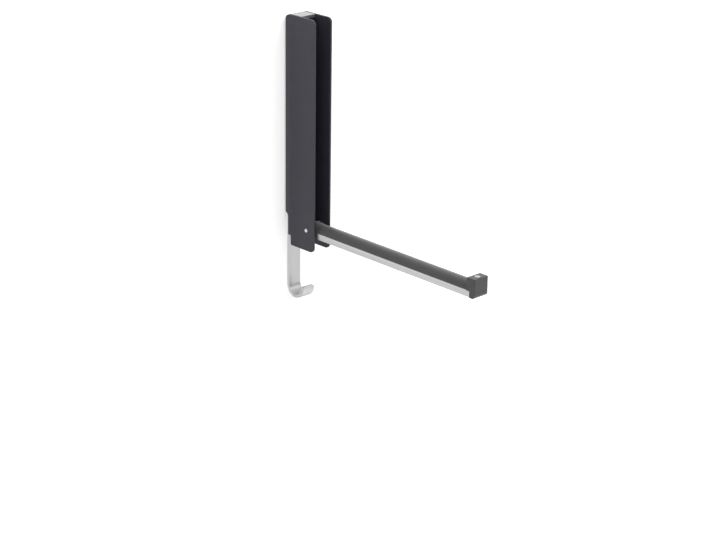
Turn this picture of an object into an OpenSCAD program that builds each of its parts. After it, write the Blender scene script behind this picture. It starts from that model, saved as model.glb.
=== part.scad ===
// Folding wall hook: a channel housing on the wall, an arm that folds up into it,
// and a flat bar behind it that ends in a coat hook.
// Millimetres. X runs along the wall, +Y goes into the wall and +Z is up.
// The origin is on the wall, midway between the two wall screw holes.

/* [Arm section] */
// Width of the arm
arm_w = 14; // [11:0.5:18]
// Height of the arm from its underside up to the edge of the half-round top
arm_side_h = 6.1; // [5:0.1:8]
// Height of that edge below the pin's centre
arm_edge_drop = 0.4; // [0:0.1:1]
// Side gap between the arm and the housing
arm_gap = 1.4; // [0.9:0.1:2]

/* [Steel cover] */
// Thickness of the cover's sheet
cover_t = 1; // [0.6:0.1:1.5]
// Outer radius of the cover's lower bends
cover_bend_r = 1.2; // [1.1:0.1:2.5]
// Distance that the cover starts in front of the housing
cover_start = 1; // [0.5:0.1:5]
// Length of the cover that laps over the end block
cover_lap = 3.3; // [2:0.1:5]

/* [End block] */
// Width of the block
block_w = 15.9; // [14:0.1:18]
// Depth of the block along the arm
block_l = 9.4; // [8:0.1:14]
// Gap between the block and the housing's top when the arm is folded up
block_clear = 3.1; // [1:0.1:10]
// Height that the block stands above the half-round top
block_rise = 4.8; // [2:0.1:7]
// Radius of the block's lower front edge, which is at the top in front when folded
block_front_r = 4; // [1:0.5:6]
// Radius of the block's lower side edges
block_low_r = 1.2; // [0.6:0.1:3]
// Radius of the block's upright outer edges
block_edge_r = 0.7; // [0.5:0.1:1.5]
// Radius of the block's upper edges
block_top_r = 0.6; // [0.4:0.1:1]
// Diameter of the bright disc in the block's top
disc_d = 5; // [3:0.5:6]
// Thickness of the disc
disc_t = 1.5; // [1:0.1:2]
// Width of the block's spigot inside the arm body
spigot_w = 7; // [5:0.5:8]
// Height of the spigot
spigot_h = 6; // [4:0.5:7]
// Length of the spigot
spigot_l = 12; // [8:1:20]

/* [Housing] */
// Height of the housing from its top to the bottom of its ears
housing_h = 212.2; // [200:0.1:260]
// Depth of the housing from the wall to its front edges
housing_d = 40; // [38:1:50]
// Distance from the wall to the back edges of the side walls
housing_back = 1; // [0:0.1:1.5]
// Thickness of the side walls
wall_t = 1.8; // [1.5:0.1:3]
// Thickness of the web between the side walls
web_t = 3; // [2.5:0.1:4]
// Radius of the front corners of the side walls
front_corner_r = 5; // [2:0.5:8]
// Radius of the back corner at the top
back_corner_r = 6; // [4:0.5:8]
// Radius of the long front edges of the side walls
lip_edge_r = 0.6; // [0.3:0.1:0.9]
// Radius of the long back edges of the side walls
back_edge_r = 1.2; // [0.3:0.1:1.4]
// Height above the pin at which the back edge starts to step forward
relief_rise = 13.8; // [10:0.1:30]
// Height of the S-curve of that step
relief_h = 6.6; // [5:0.1:9]
// Distance from the wall to the back edge below the step
relief_d = 5.2; // [4:0.1:5.3]
// Depth of the web's lower end below the pin's centre
web_end = 9.7; // [8:0.1:11]
// Distance from the wall to the back edge of the ears below the web
ear_back = 8.8; // [6.5:0.1:10]
// Radius of the back corner of the ears
ear_corner_r = 1.5; // [0.5:0.5:3]

/* [Pivot] */
// Distance of the pin behind the front edges
pin_back = 10.6; // [9:0.1:13]
// Height of the pin above the bottom of the ears
pin_rise = 19; // [14:0.1:25]
// Diameter of the pin
pin_d = 3.6; // [3:0.2:5]
// Height of the pin's domed ends above the ears
pin_proud = 0.3; // [0.1:0.1:0.6]
// Radial gap of the pin in the ears
pin_fit = 0.01; // [0.01:0.01:0.03]
// Radial gap of the pin in the bushes
bush_fit = 0.05; // [0.02:0.01:0.08]
// Wall thickness of the bushes
bush_t = 1; // [0.8:0.1:1.5]
// Length of each bush inside the arm body
bush_l = 5; // [3:0.5:6]
// Width of the bush flange's ring outside the barrel
flange_ring = 1.5; // [1:0.1:2]
// Thickness of the bush flange
flange_t = 1.3; // [0.6:0.05:1.6]
// Gap between the bush flange and the ear
flange_gap = 0.05; // [0.05:0.05:0.15]
// Clearance round the bush flange in its pocket
pocket_gap = 0.2; // [0.1:0.1:0.4]
// Gap between the arm's heel and the web
heel_gap = 0.3; // [0.2:0.05:0.5]

/* [Hook bar] */
// Width of the bar below its lip
bar_w = 13.2; // [11:0.1:15]
// Thickness of the bar
bar_t = 3; // [2.5:0.1:4]
// Side gap of the bar in its groove, and of the lip between the side walls
bar_gap = 0.3; // [0.1:0.05:0.4]
// Reach of the top lip from the wall
lip_reach = 20; // [12:0.5:20.5]
// Inner radius of the lip's bend
lip_bend_r = 4; // [1:0.25:5]
// Gap between the lip's shoulders and the top of the groove
lip_seat_gap = 0.1; // [0.05:0.05:0.3]
// Depth of the hook's bend centre below the ears
hook_drop = 40.5; // [30:0.5:70]
// Inner radius of the hook's bend
hook_r = 8.2; // [5:0.1:12]
// Length of the straight tip above the bend's centre
hook_tip = 1.6; // [0.5:0.1:10]
// Radius of the tip's corners
tip_corner_r = 2; // [1:0.25:3]

/* [Screws] */
// Distance between the two wall screw holes
wall_pitch = 120; // [80:5:130]
// Depth of the upper wall hole below the housing's top
wall_drop = 30; // [25:1:40]
// Diameter of the wall screw holes
wall_hole_d = 4.6; // [4:0.1:5]
// Diameter of the countersinks of the wall holes
wall_sink_d = 9; // [7:0.5:10]
// Depth of the upper bar screw below the housing's top
bar_screw_drop = 15; // [12:1:22]
// Height of the lower bar screw above the web's lower end
bar_screw_rise = 25; // [10:1:40]
// Diameter of the bar and cover screws
screw_d = 3; // [2.5:0.5:3]
// Diameter of their countersunk heads
screw_head_d = 5.6; // [5:0.1:6]
// Width across the flats of their hexagon sockets
screw_socket = 2; // [1.5:0.1:2]
// Depth of their sockets
socket_depth = 1.2; // [0.8:0.1:1.5]
// Length of the cover screws
cover_screw_l = 6; // [5:0.5:8]
// Distance of the first cover screw from the start of the cover
cover_screw_in = 16; // [8:1:40]

/* [Hidden] */
$fn = 48;
eps = 0.01;

inner_w = arm_w + 2 * arm_gap;
housing_w = inner_w + 2 * wall_t;
groove_w = bar_w + 2 * bar_gap;
lip_w = inner_w - 2 * bar_gap;
web_front = bar_t + web_t;

top_z = wall_drop + wall_pitch / 2;
bottom_z = top_z - housing_h;
pin_y = -(housing_d - pin_back);
pin_z = bottom_z + pin_rise;
web_low_z = pin_z - web_end;
web_top_z = top_z - bar_t - lip_bend_r - lip_seat_gap;
hook_z = bottom_z - hook_drop;
bar_screw_z = [top_z - bar_screw_drop, 0, web_low_z + bar_screw_rise];

arm_r = arm_w / 2;
edge_v = -arm_edge_drop;
low_v = edge_v - arm_side_h;
dome_v = edge_v + arm_r;
cover_u = pin_back + cover_start;
block_u = top_z - pin_z + block_clear;
arm_reach = block_u + block_l;
cover_end_u = block_u + cover_lap;
heel_r = -pin_y - web_front - heel_gap;
tongue_w = arm_w - 2 * cover_t;
tongue_v = low_v + cover_t;

bush_d = pin_d + 2 * bush_fit + 2 * bush_t;
flange_d = bush_d + 2 * flange_ring;
flange_x = inner_w / 2 - flange_gap;
boss_x = flange_x - flange_t;
boss_d = flange_d + 2 * pocket_gap + 1.6;

screw_sink = (screw_head_d - screw_d) / 2;
cover_screw_u = [cover_u + cover_screw_in, block_u - spigot_l / 2];

// Points of an arc round c, from angle a to angle b
function arc(c, r, a, b, n = 10) =
    [for (i = [0:n]) c + r * [cos(a + (b - a) * i / n), sin(a + (b - a) * i / n)]];

// Extrudes a (y, z) outline along X, centred on the wall's middle line
module along_x(width) {
    rotate([90, 0, 90]) translate([0, 0, -width / 2]) linear_extrude(width) children();
}

// Extrudes an (x, v) section along the arm, from u0 to u1 in front of the pin
module along_arm(u0, u1) {
    translate([0, pin_y - u0, pin_z]) rotate([90, 0, 0]) linear_extrude(u1 - u0) children();
}

// Extrudes an (x, y) outline upwards from z0 to z1
module upright(z0, z1) {
    translate([0, 0, z0]) linear_extrude(z1 - z0) children();
}

// Cylinder along X, centred
module bar_x(d, width) {
    rotate([0, 90, 0]) cylinder(d = d, h = width, center = true);
}

// Rectangle centred on x = 0 with its own radius at each pair of corners
module rounded_section(w, low, high, low_r, high_r) {
    polygon(concat(
        arc([w / 2 - low_r, low + low_r], low_r, -90, 0, 6),
        arc([w / 2 - high_r, high - high_r], high_r, 0, 90, 6),
        arc([-w / 2 + high_r, high - high_r], high_r, 90, 180, 6),
        arc([-w / 2 + low_r, low + low_r], low_r, 180, 270, 6)));
}

// Side wall seen from above, with eased front and back edges
module wall_plan() {
    r = back_edge_r;
    e = lip_edge_r;
    x0 = inner_w / 2;
    x1 = housing_w / 2;
    polygon(concat(
        [[x0, -housing_back]],
        [[x0, -housing_d + e]],
        arc([x0 + e, -housing_d + e], e, 180, 270, 4),
        arc([x1 - e, -housing_d + e], e, 270, 360, 4),
        arc([x1 - r, -housing_back - r], r, 0, 90, 5)));
}

// Web seen from above, with the groove that holds the bar from behind
module web_plan() {
    difference() {
        translate([-inner_w / 2 - eps, -web_front])
            square([inner_w + 2 * eps, web_front - housing_back]);
        translate([-groove_w / 2, -bar_t]) square([groove_w, bar_t]);
    }
}

// Back edge of the side walls: down from the top, an S forward, then the ear's own step
function s_angle() = 2 * atan((relief_d - housing_back) / relief_h);
function s_radius() = relief_h / 2 / sin(s_angle());

module wall_outline() {
    f = front_corner_r;
    b = back_corner_r;
    s_top = pin_z + relief_rise;
    s_low = s_top - relief_h;
    s = s_radius();
    polygon(concat(
        arc([-housing_back - b, top_z - b], b, 90, 0),
        arc([-housing_back - s, s_top], s, 0, -s_angle(), 8),
        arc([-relief_d + s, s_low], s, 180 - s_angle(), 180, 8),
        [[-relief_d, web_low_z], [-ear_back, web_low_z]],
        arc([-ear_back - ear_corner_r, bottom_z + ear_corner_r], ear_corner_r, 0, -90, 6),
        arc([-housing_d + f, bottom_z + f], f, 270, 180),
        arc([-housing_d + f, top_z - f], f, 180, 90)));
}

// Countersunk hole along Y that enters at y0 and narrows towards -Y
module sunk_hole(y0, head_d, d, depth) {
    sink = (head_d - d) / 2;
    translate([0, y0, 0]) rotate([90, 0, 0]) rotate_extrude()
        polygon([[0, -eps], [head_d / 2 + eps, -eps], [d / 2, sink], [d / 2, depth], [0, depth]]);
}

// Countersunk screw along -Y with its head's face at y = 0
module sunk_screw(length) {
    difference() {
        rotate([90, 0, 0]) rotate_extrude()
            polygon([[0, 0], [screw_head_d / 2, 0], [screw_d / 2, screw_sink],
                [screw_d / 2, length - 0.4], [screw_d / 2 - 0.4, length], [0, length]]);
        rotate([90, 0, 0]) translate([0, 0, -eps])
            cylinder(d = screw_socket / cos(30), h = socket_depth + eps, $fn = 6);
    }
}

// Black channel: two side walls joined by a web, with a groove behind it for the bar
module housing() {
    color([0.13, 0.13, 0.14])
    difference() {
        union() {
            for (side = [0, 1])
                mirror([side, 0, 0])
                    intersection() {
                        upright(bottom_z, top_z) wall_plan();
                        along_x(housing_w + 1) wall_outline();
                    }
            intersection() {
                upright(web_low_z, web_top_z) web_plan();
                along_x(housing_w) wall_outline();
            }
        }
        translate([0, pin_y, pin_z]) bar_x(pin_d + 2 * pin_fit, housing_w + 2);
        for (side = [-1, 1])
            translate([0, -web_front, side * wall_pitch / 2])
                rotate([180, 0, 0]) sunk_hole(0, wall_sink_d, wall_hole_d, web_t + 1);
        for (z = bar_screw_z)
            translate([0, -bar_t / 2, z]) rotate([90, 0, 0]) cylinder(d = screw_d, h = web_front);
    }
}

// Middle of the bar's outline: top lip, straight back, J hook
module bar_outline() {
    r_out = lip_bend_r + bar_t;
    c = [-hook_r - bar_t, hook_z];
    tip_z = c[1] + hook_tip;
    polygon(concat(
        [[-lip_reach, top_z]],
        arc([-r_out, top_z - r_out], r_out, 90, 0),
        arc(c, hook_r + bar_t, 0, -180, 28),
        [[c[0] - hook_r - bar_t, tip_z], [c[0] - hook_r, tip_z]],
        arc(c, hook_r, -180, 0, 28),
        arc([-r_out, top_z - r_out], lip_bend_r, 0, 90, 6),
        [[-lip_reach, top_z - bar_t]]));
}

// Cuts the two corners of the hook's tip to a radius
module tip_corners() {
    r = tip_corner_r;
    y = -2 * (hook_r + bar_t);
    z = hook_z + hook_tip;
    for (side = [0, 1])
        mirror([side, 0, 0])
            translate([bar_w / 2 - r, y - 1, z - r])
                difference() {
                    cube([r + 1, bar_t + 1.5, r + 1]);
                    translate([0, -1, 0]) rotate([-90, 0, 0]) cylinder(r = r, h = bar_t + 4);
                }
}

// Flat stainless bar, wider at the lip so that its shoulders meet the top of the groove
module hook_bar() {
    color([0.78, 0.78, 0.78])
    difference() {
        union() {
            along_x(bar_w) bar_outline();
            intersection() {
                along_x(lip_w) bar_outline();
                upright(web_top_z + lip_seat_gap, top_z + 1)
                    translate([-lip_w / 2, -lip_reach]) square([lip_w, lip_reach]);
            }
        }
        tip_corners();
        for (side = [-1, 1])
            translate([0, 1, side * wall_pitch / 2]) rotate([90, 0, 0])
                cylinder(d = wall_hole_d, h = bar_t + 2);
        for (z = bar_screw_z)
            translate([0, 0, z]) sunk_hole(0, screw_head_d, screw_d, bar_t + 1);
    }
}

// Screws from the back of the bar into the web
module bar_screws() {
    color([0.7, 0.7, 0.72])
    for (z = bar_screw_z)
        translate([0, 0, z]) sunk_screw(web_front);
}

// Pin through both ears, with domed ends
module pivot_pin() {
    r = pin_d / 2;
    half = housing_w / 2;
    color([0.85, 0.85, 0.86])
    translate([0, pin_y, pin_z]) rotate([0, 90, 0]) rotate_extrude()
        polygon([[0, -half - pin_proud], [r * 0.6, -half - pin_proud * 0.8], [r, -half],
            [r, half], [r * 0.6, half + pin_proud * 0.8], [0, half + pin_proud]]);
}

// Flanged bush, on the +X side
module bush() {
    color([0.9, 0.9, 0.86])
    translate([0, pin_y, pin_z]) rotate([0, 90, 0])
        difference() {
            union() {
                translate([0, 0, boss_x - bush_l]) cylinder(d = bush_d, h = bush_l + eps);
                translate([0, 0, boss_x]) cylinder(d = flange_d, h = flange_t);
            }
            translate([0, 0, boss_x - bush_l - 1])
                cylinder(d = pin_d + 2 * bush_fit, h = bush_l + flange_t + 2);
        }
}

module bush_left() {
    mirror([1, 0, 0]) bush();
}

module bush_right() {
    bush();
}

// Section of the arm's heel: half-round top on square sides
module heel_section() {
    polygon(concat([[-arm_r, low_v], [arm_r, low_v]], arc([0, edge_v], arm_r, 0, 180, 24)));
}

// Section of the arm body inside the cover
module tongue_section() {
    polygon(concat(
        [[-tongue_w / 2, tongue_v], [tongue_w / 2, tongue_v], [tongue_w / 2, edge_v]],
        arc([0, edge_v], arm_r, 0, 180, 24),
        [[-tongue_w / 2, edge_v]]));
}

// Heel's side outline: its back is flat below the pin and turns round the pin above it
module heel_outline() {
    tip_a = asin(dome_v / heel_r);
    back_y = pin_y + heel_r;
    polygon(concat(
        [[pin_y - cover_u, pin_z + low_v], [back_y, pin_z + low_v]],
        arc([pin_y, pin_z], heel_r, 0, tip_a, 5),
        [[pin_y - cover_u, pin_z + dome_v]]));
}

// Countersunk holes of the cover screws, from the arm's underside upwards
module cover_screw_holes(depth) {
    for (u = cover_screw_u)
        translate([0, pin_y - u, pin_z + low_v])
            rotate([-90, 0, 0]) sunk_hole(0, screw_head_d, screw_d, depth);
}

// Black arm body
module arm_body() {
    color([0.16, 0.16, 0.17])
    difference() {
        union() {
            intersection() {
                along_arm(-heel_r, cover_u) heel_section();
                along_x(arm_w + 1) heel_outline();
            }
            along_arm(cover_u - eps, block_u) tongue_section();
            translate([0, pin_y, pin_z]) bar_x(boss_d, 2 * boss_x);
        }
        translate([0, pin_y, pin_z]) {
            bar_x(bush_d, arm_w + 2);
            for (side = [-1, 1])
                translate([side * (boss_x + 1), 0, 0]) bar_x(flange_d + 2 * pocket_gap, 2);
        }
        along_arm(block_u - spigot_l, block_u + 1)
            translate([-spigot_w / 2, edge_v - spigot_h / 2]) square([spigot_w, spigot_h]);
        cover_screw_holes(cover_screw_l + 0.1);
    }
}

// Stainless cover: sheet folded to a U round the arm's lower half
module arm_cover() {
    color([0.8, 0.8, 0.8])
    difference() {
        along_arm(cover_u, cover_end_u)
            difference() {
                rounded_section(arm_w, low_v, edge_v + 2 * cover_t, cover_bend_r, cover_t);
                translate([-tongue_w / 2, tongue_v]) square([tongue_w, arm_w]);
                translate([-arm_w, edge_v]) square([2 * arm_w, arm_w]);
            }
        cover_screw_holes(2 * cover_t);
    }
}

// End block's side outline: small radii above, a large one at its lower front edge
module block_outline() {
    y0 = pin_y - block_u;
    y1 = pin_y - arm_reach;
    low = pin_z + low_v;
    top = pin_z + dome_v + block_rise;
    f = block_front_r;
    t = block_top_r;
    polygon(concat(
        [[y0, low]],
        arc([y0 - t, top - t], t, 0, 90, 4),
        arc([y1 + t, top - t], t, 90, 180, 4),
        arc([y1 + f, low + f], f, 180, 270, 10)));
}

// Black end block with the spigot that holds it in the arm body
module end_block() {
    top_v = dome_v + block_rise;
    color([0.17, 0.17, 0.18])
    difference() {
        union() {
            intersection() {
                along_x(block_w + 1) block_outline();
                along_arm(block_u, arm_reach)
                    rounded_section(block_w, low_v, top_v, block_low_r, block_top_r);
                translate([0, pin_y - block_u, pin_z + low_v - 1]) mirror([0, 1, 0])
                    linear_extrude(top_v - low_v + 2)
                        rounded_section(block_w, -1, block_l, 0.5, block_edge_r);
            }
            along_arm(block_u - spigot_l, block_u + 1)
                translate([-spigot_w / 2, edge_v - spigot_h / 2]) square([spigot_w, spigot_h]);
        }
        along_arm(block_u - eps, cover_end_u)
            difference() {
                translate([-block_w, low_v - 1]) square([2 * block_w, edge_v - low_v + 1]);
                translate([-tongue_w / 2, tongue_v]) square([tongue_w, arm_w]);
            }
        translate([0, pin_y - (block_u + arm_reach) / 2, pin_z + top_v - disc_t])
            cylinder(d = disc_d, h = disc_t + 1);
        cover_screw_holes(cover_screw_l + 0.1);
    }
}

// Bright disc let into the top of the end block
module end_disc() {
    color([0.9, 0.9, 0.9])
    translate([0, pin_y - (block_u + arm_reach) / 2, pin_z + dome_v + block_rise - disc_t])
        cylinder(d = disc_d, h = disc_t);
}

// Screws from below that hold the cover and the end block
module cover_screws() {
    color([0.7, 0.7, 0.72])
    for (u = cover_screw_u)
        translate([0, pin_y - u, pin_z + low_v]) rotate([-90, 0, 0]) sunk_screw(cover_screw_l);
}

housing();
hook_bar();
bar_screws();
pivot_pin();
bush_left();
bush_right();
arm_body();
arm_cover();
end_block();
end_disc();
cover_screws();
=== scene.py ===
import math

import bpy
from mathutils import Matrix, Vector

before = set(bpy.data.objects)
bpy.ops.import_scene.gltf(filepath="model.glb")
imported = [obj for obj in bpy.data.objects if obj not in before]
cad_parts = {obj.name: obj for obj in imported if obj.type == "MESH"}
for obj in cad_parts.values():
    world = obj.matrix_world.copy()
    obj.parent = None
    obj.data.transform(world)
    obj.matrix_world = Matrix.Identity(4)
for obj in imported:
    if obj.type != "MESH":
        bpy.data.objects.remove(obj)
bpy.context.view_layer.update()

# Lengths are in metres, and scales of noise count its cells in a metre

# Camera: the pinhole that the photograph's straight edges give, in a 716 x 540 image
IMAGE_W = 716
FOCAL_PX = 1851.0
SENSOR_MM = 36.0
CAMERA_AT = (-1.0548, -1.1957, 0.4520)
CAMERA_YAW = math.radians(43.58)
CAMERA_PITCH = math.radians(20.725)
CAMERA_ROLL = math.radians(0.834)

# Black coats: a grain of 0.45 mm, half a cell of its noise, or fine drawn lines
COAT_GRAIN_SCALE = 500.0 / 0.45
COAT_TONE_SCALE = 60.0
COAT_LINES_ACROSS = 1100.0
COAT_LINES_ALONG = 8.0
COAT_LINES_SHARE = 0.7
COAT_ROUGHNESS_SPREAD = 0.05
COAT_SHEEN_ROUGHNESS = 0.52
COAT_BUMP = 0.000012

# Brushed steel: fine streaks over broader bands
STREAKS_ACROSS = 900.0
STREAKS_ALONG = 5.0
STREAKS_SHARE = 0.6
BANDS_ACROSS = 160.0
BANDS_ALONG = 3.0
STEEL_ROUGHNESS = (0.26, 0.42)
STREAK_BUMP = 0.000008

# Turned steel: a fine all-over grain, with a trace of blue
TURNED_GRAIN_SCALE = 1500.0
TURNED_ROUGHNESS_SPREAD = 0.2
TURNED_TINT = 0.01
TURNED_BUMP = 0.000004

# Nylon of the bushes
NYLON_DARK = (0.62, 0.6, 0.54)
NYLON_PALE = (0.7, 0.68, 0.62)
NYLON_ROUGHNESS = 0.45
NYLON_CLOUD_SCALE = 400.0
NYLON_GLOW = 0.1
NYLON_GLOW_DEPTH = 0.001
NYLON_BUMP = 0.00001

# Most of a noise lies between these two values
NOISE_LOW = 0.3
NOISE_HIGH = 0.7
# Roughness of a noise that makes crisp lines
FINE_LINES = 0.6

# Width of the eased edge on each CAD node
EDGE = {
    "housing": 0.0004,
    "hook_bar": 0.0005,
    "arm_body": 0.00025,
    "arm_cover": 0.0002,
    "end_block": 0.0004,
    "end_disc": 0.0002,
    "pivot_pin": 0.0002,
    "bar_screws": 0.0001,
    "cover_screws": 0.0001,
    "bush_left": 0.0001,
    "bush_right": 0.0001,
}
EDGE_SEGMENTS = 2
# Edges that turn more than this are eased
SHARP_ANGLE = math.radians(35)
# Facets that turn less than this are joined to one face
FLAT_ANGLE = math.radians(0.5)
WELD_DISTANCE = 0.000002
# Strongest pull of large faces on the normals round them
FACE_AREA_WEIGHT = 100

# Floor under the object, and the wall just behind its back.
# Each lift is the glow that the camera sees, and the one that mirrors see.
FLOOR_AT = (0, -1.0, -1.2)
FLOOR_SIZE = 60.0
FLOOR_COLOUR = 0.82
FLOOR_LIFT = (0.6, 0.5)
WALL_AT = (0, 0.0005, 0)
WALL_SIZE = 2.4
WALL_COLOUR = 0.95
WALL_LIFT = (0.36, 0.06)
PAINT_ROUGHNESS = 0.9
PAINT_GLOSS = 0.1
# Within this distance a mirror doesn't see the wall, as on the object's own back
MIRROR_NEAR = 0.01

WHITE = (1.0, 1.0, 1.0, 1.0)
# Strength of the world as it lights the object, and as the camera sees it
WORLD_LIGHT = 0.5
WORLD_SEEN = 1.0

# Each lamp: name, place, size, watts
LAMPS = [
    ("key", (0.5, -1.7, 1.6), 2.0, 26.0),
    ("fill", (-1.7, -1.3, 0.7), 1.6, 9.0),
    ("top", (0.0, -0.4, 1.9), 2.0, 14.0),
    ("rear", (0.3, 1.2, 1.2), 1.6, 12.0),
]
LAMPS_AIM = Vector((0.0, -0.08, -0.05))


def make_camera():
    yaw, pitch, roll = CAMERA_YAW, CAMERA_PITCH, CAMERA_ROLL
    ahead = math.cos(pitch)
    forward = Vector((math.sin(yaw) * ahead, math.cos(yaw) * ahead, -math.sin(pitch)))
    level = Vector((math.cos(yaw), -math.sin(yaw), 0.0))
    above = level.cross(forward)
    right = math.cos(roll) * level + math.sin(roll) * above
    up = math.cos(roll) * above - math.sin(roll) * level
    data = bpy.data.cameras.new("camera")
    data.sensor_width = SENSOR_MM
    data.lens = FOCAL_PX / IMAGE_W * SENSOR_MM
    camera = bpy.data.objects.new("camera", data)
    bpy.context.scene.collection.objects.link(camera)
    turn = Matrix((right, up, -forward)).transposed().to_4x4()
    camera.matrix_world = Matrix.Translation(CAMERA_AT) @ turn
    bpy.context.scene.camera = camera


class Nodes:
    """Short calls for building the node tree of one material or world."""

    def __init__(self, owner):
        owner.use_nodes = True
        self.owner = owner
        self.tree = owner.node_tree
        self.coords = None

    @classmethod
    def of_material(cls, name):
        n = cls(bpy.data.materials.new(name))
        n.shader = n.tree.nodes["Principled BSDF"]
        return n

    def add(self, kind, **settings):
        node = self.tree.nodes.new(kind)
        for key, value in settings.items():
            setattr(node, key, value)
        return node

    def link(self, source, target):
        self.tree.links.new(source, target)

    def constant(self, name, value):
        """Sets one of the shader's own sockets, the same all over the surface."""
        self.shader.inputs[name].default_value = value

    def varying(self, name, source):
        self.link(source, self.shader.inputs[name])

    def place(self):
        """Object coordinates."""
        if self.coords is None:
            self.coords = self.add("ShaderNodeTexCoord").outputs["Object"]
        return self.coords

    def noise(self, vector, scale, detail=3.0, roughness=0.5):
        node = self.add("ShaderNodeTexNoise")
        node.inputs["Scale"].default_value = scale
        node.inputs["Detail"].default_value = detail
        node.inputs["Roughness"].default_value = roughness
        self.link(vector, node.inputs["Vector"])
        return node.outputs["Fac"]

    def lines(self, along, across_scale, along_scale, **settings):
        """Noise that runs in lines along one axis, with a scale of its own that way."""
        node = self.add("ShaderNodeMapping")
        node.inputs["Scale"].default_value = [
            along_scale if axis == along else across_scale for axis in "XYZ"]
        self.link(self.place(), node.inputs["Vector"])
        return self.noise(node.outputs["Vector"], 1.0, **settings)

    def spread(self, noise, low_value, high_value):
        """Maps a noise from its usual range to the two values."""
        node = self.add("ShaderNodeMapRange")
        node.inputs["From Min"].default_value = NOISE_LOW
        node.inputs["From Max"].default_value = NOISE_HIGH
        node.inputs["To Min"].default_value = low_value
        node.inputs["To Max"].default_value = high_value
        self.link(noise, node.inputs["Value"])
        return node.outputs["Result"]

    def math(self, operation, *values, clamp=False):
        """A math node on sockets and plain numbers."""
        node = self.add("ShaderNodeMath", operation=operation, use_clamp=clamp)
        for target, value in zip(node.inputs, values):
            if isinstance(value, float):
                target.default_value = value
            else:
                self.link(value, target)
        return node.outputs[0]

    def blended(self, first, second, first_share):
        """Two noises added, each with its share of the whole."""
        first_part = self.spread(first, 0.0, first_share)
        second_part = self.spread(second, 0.0, 1.0 - first_share)
        return self.math("ADD", first_part, second_part)

    def colours(self, value, dark, pale):
        node = self.add("ShaderNodeMix", data_type="RGBA")
        node.inputs["A"].default_value = (*dark, 1.0)
        node.inputs["B"].default_value = (*pale, 1.0)
        self.link(value, node.inputs["Factor"])
        self.varying("Base Color", node.outputs["Result"])

    def mix_shaders(self, share, first, second, out):
        """Sends a mix of two shader nodes to an output; share is the second one's."""
        mix = self.add("ShaderNodeMixShader")
        self.link(share, mix.inputs["Fac"])
        self.link(first.outputs[0], mix.inputs[1])
        self.link(second.outputs[0], mix.inputs[2])
        self.link(mix.outputs[0], out.inputs["Surface"])

    def bump(self, height, distance):
        node = self.add("ShaderNodeBump")
        node.inputs["Distance"].default_value = distance
        node.inputs["Strength"].default_value = 1.0
        self.link(height, node.inputs["Height"])
        self.varying("Normal", node.outputs["Normal"])


def coated_black(name, dark, pale, rough, sheen=0.0, along=None):
    """Satin black: a fine grain and slow changes of gloss, or fine drawn lines along an axis."""
    n = Nodes.of_material(name)
    tone = n.noise(n.place(), COAT_TONE_SCALE)
    if along:
        grain = n.lines(along, COAT_LINES_ACROSS, COAT_LINES_ALONG, roughness=FINE_LINES)
        tone = n.blended(grain, tone, COAT_LINES_SHARE)
    else:
        grain = n.noise(n.place(), COAT_GRAIN_SCALE, detail=2.0)
    n.colours(tone, dark, pale)
    n.varying("Roughness", n.spread(
        tone, rough - COAT_ROUGHNESS_SPREAD, rough + COAT_ROUGHNESS_SPREAD))
    n.constant("Sheen Weight", sheen)
    n.constant("Sheen Roughness", COAT_SHEEN_ROUGHNESS)
    n.bump(grain, COAT_BUMP)
    return n.owner


def brushed_steel(name, along, dark, pale):
    """Stainless steel brushed along one axis, given as X, Y or Z, in two greys."""
    n = Nodes.of_material(name)
    streaks = n.lines(along, STREAKS_ACROSS, STREAKS_ALONG, detail=4.0, roughness=FINE_LINES)
    bands = n.lines(along, BANDS_ACROSS, BANDS_ALONG, detail=2.0)
    n.colours(n.blended(streaks, bands, STREAKS_SHARE), (dark,) * 3, (pale,) * 3)
    n.varying("Roughness", n.spread(streaks, *STEEL_ROUGHNESS))
    n.constant("Metallic", 1.0)
    n.bump(streaks, STREAK_BUMP)
    return n.owner


def turned_steel(name, rough, dark=0.72, pale=0.86):
    """Bright turned or headed steel, in two greys with a trace of blue."""
    n = Nodes.of_material(name)
    grain = n.noise(n.place(), TURNED_GRAIN_SCALE)
    n.colours(grain, (dark, dark, dark + TURNED_TINT), (pale, pale, pale + TURNED_TINT))
    n.varying("Roughness", n.spread(
        grain, rough * (1.0 - TURNED_ROUGHNESS_SPREAD), rough * (1.0 + TURNED_ROUGHNESS_SPREAD)))
    n.constant("Metallic", 1.0)
    n.bump(grain, TURNED_BUMP)
    return n.owner


def plain_nylon(name):
    n = Nodes.of_material(name)
    cloud = n.noise(n.place(), NYLON_CLOUD_SCALE)
    n.colours(cloud, NYLON_DARK, NYLON_PALE)
    n.constant("Roughness", NYLON_ROUGHNESS)
    n.constant("Subsurface Weight", NYLON_GLOW)
    n.constant("Subsurface Scale", NYLON_GLOW_DEPTH)
    n.bump(cloud, NYLON_BUMP)
    return n.owner


MATERIALS = {
    "housing": coated_black(
        "housing_coat", (0.0312, 0.0297, 0.042), (0.0395, 0.0378, 0.0522), 0.47),
    "hook_bar": brushed_steel("bar_steel", "Z", 0.46, 0.66),
    "bar_screws": turned_steel("screw_steel", 0.25),
    "pivot_pin": turned_steel("pin_steel", 0.15),
    "bush_left": plain_nylon("nylon_left"),
    "bush_right": plain_nylon("nylon_right"),
    "arm_body": coated_black(
        "body_coat", (0.003, 0.003, 0.0033), (0.011, 0.011, 0.0114), 0.42, 0.62, "Y"),
    "arm_cover": brushed_steel("cover_steel", "Y", 0.49, 0.70),
    "end_block": coated_black(
        "block_coat", (0.034, 0.034, 0.035), (0.056, 0.056, 0.057), 0.42, 0.15, "Z"),
    "end_disc": turned_steel("disc_steel", 0.2, 0.56, 0.7),
    "cover_screws": turned_steel("cover_screw_steel", 0.25),
}


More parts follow.
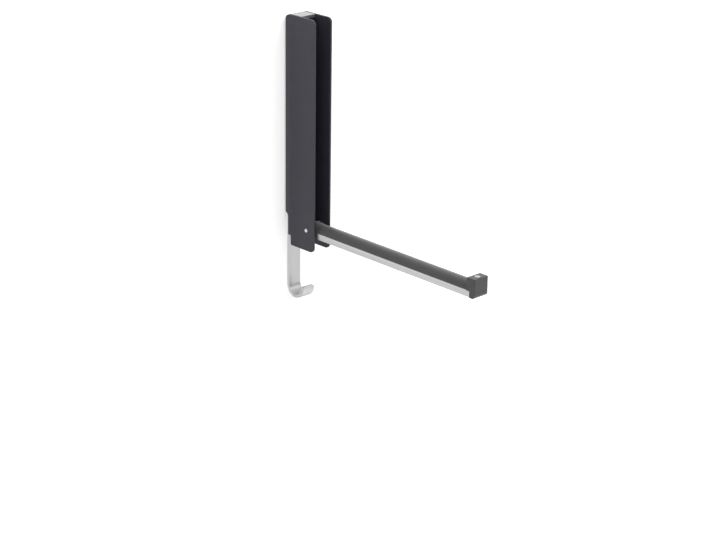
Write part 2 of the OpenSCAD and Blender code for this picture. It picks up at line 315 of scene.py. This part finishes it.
def ease_edges(obj, width):
    """Joins the facets of each flat face, then rounds the sharp edges a little."""
    weld = obj.modifiers.new("weld", "WELD")
    weld.merge_threshold = WELD_DISTANCE
    flat = obj.modifiers.new("flat", "DECIMATE")
    flat.decimate_type = "DISSOLVE"
    flat.angle_limit = FLAT_ANGLE
    bevel = obj.modifiers.new("edge", "BEVEL")
    bevel.width = width
    bevel.segments = EDGE_SEGMENTS
    bevel.limit_method = "ANGLE"
    bevel.angle_limit = SHARP_ANGLE
    bevel.miter_outer = "MITER_ARC"
    level = obj.modifiers.new("level", "WEIGHTED_NORMAL")
    level.mode = "FACE_AREA"
    level.weight = FACE_AREA_WEIGHT
    level.keep_sharp = False


def dress_nodes():
    for name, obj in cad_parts.items():
        obj.data.materials.clear()
        obj.data.materials.append(MATERIALS[name])
        for face in obj.data.polygons:
            face.use_smooth = True
        ease_edges(obj, EDGE[name])


def pale_paint(name, colour, seen_lift, mirror_lift):
    """Matt pale surface, lifted towards white for the camera, and less for mirrors."""
    n = Nodes.of_material(name)
    n.constant("Base Color", (colour, colour, colour, 1.0))
    n.constant("Roughness", PAINT_ROUGHNESS)
    n.constant("Specular IOR Level", PAINT_GLOSS)
    n.constant("Emission Color", WHITE)
    ray = n.add("ShaderNodeLightPath").outputs
    seen = n.math("MULTIPLY", ray["Is Camera Ray"], seen_lift)
    lift = n.math("MULTIPLY_ADD", ray["Is Glossy Ray"], mirror_lift, seen)
    n.varying("Emission Strength", lift)
    return n


def open_from_behind(n):
    """Leaves the surface only to camera rays and mirrors that meet its front."""
    ray = n.add("ShaderNodeLightPath").outputs
    back = n.add("ShaderNodeNewGeometry").outputs["Backfacing"]
    far = n.math("GREATER_THAN", ray["Ray Length"], MIRROR_NEAR)
    mirror = n.math("MULTIPLY", ray["Is Glossy Ray"], far)
    seen = n.math("MAXIMUM", ray["Is Camera Ray"], mirror)
    front = n.math("SUBTRACT", seen, back, clamp=True)
    clear = n.add("ShaderNodeBsdfTransparent")
    n.mix_shaders(front, clear, n.shader, n.tree.nodes["Material Output"])


def stage_plane(name, place, size, paint):
    bpy.ops.mesh.primitive_plane_add(size=size, location=place)
    plane = bpy.context.object
    plane.name = name
    plane.data.materials.append(paint.owner)
    return plane


def make_stage():
    """The floor, and the wall that carries the hook, for the soft shadow beside it."""
    floor_paint = pale_paint("floor_paint", FLOOR_COLOUR, *FLOOR_LIFT)
    stage_plane("floor", FLOOR_AT, FLOOR_SIZE, floor_paint)
    wall_paint = pale_paint("wall_paint", WALL_COLOUR, *WALL_LIFT)
    open_from_behind(wall_paint)
    wall = stage_plane("wall", WALL_AT, WALL_SIZE, wall_paint)
    wall.rotation_euler = (math.radians(90), 0, 0)


def make_world():
    world = bpy.data.worlds.new("world")
    bpy.context.scene.world = world
    n = Nodes(world)
    n.tree.nodes.clear()
    skies = []
    for strength in (WORLD_LIGHT, WORLD_SEEN):
        sky = n.add("ShaderNodeBackground")
        sky.inputs["Color"].default_value = WHITE
        sky.inputs["Strength"].default_value = strength
        skies.append(sky)
    seen = n.add("ShaderNodeLightPath").outputs["Is Camera Ray"]
    n.mix_shaders(seen, *skies, n.add("ShaderNodeOutputWorld"))


def make_lamps():
    for name, place, size, watts in LAMPS:
        data = bpy.data.lights.new(name, "AREA")
        data.size = size
        data.energy = watts
        lamp = bpy.data.objects.new(name, data)
        bpy.context.scene.collection.objects.link(lamp)
        lamp.location = place
        lamp.rotation_euler = (LAMPS_AIM - Vector(place)).to_track_quat("-Z", "Y").to_euler()
        lamp.visible_camera = False


make_camera()
dress_nodes()
make_stage()
make_world()
make_lamps()
bpy.context.scene.view_settings.view_transform = "Standard"
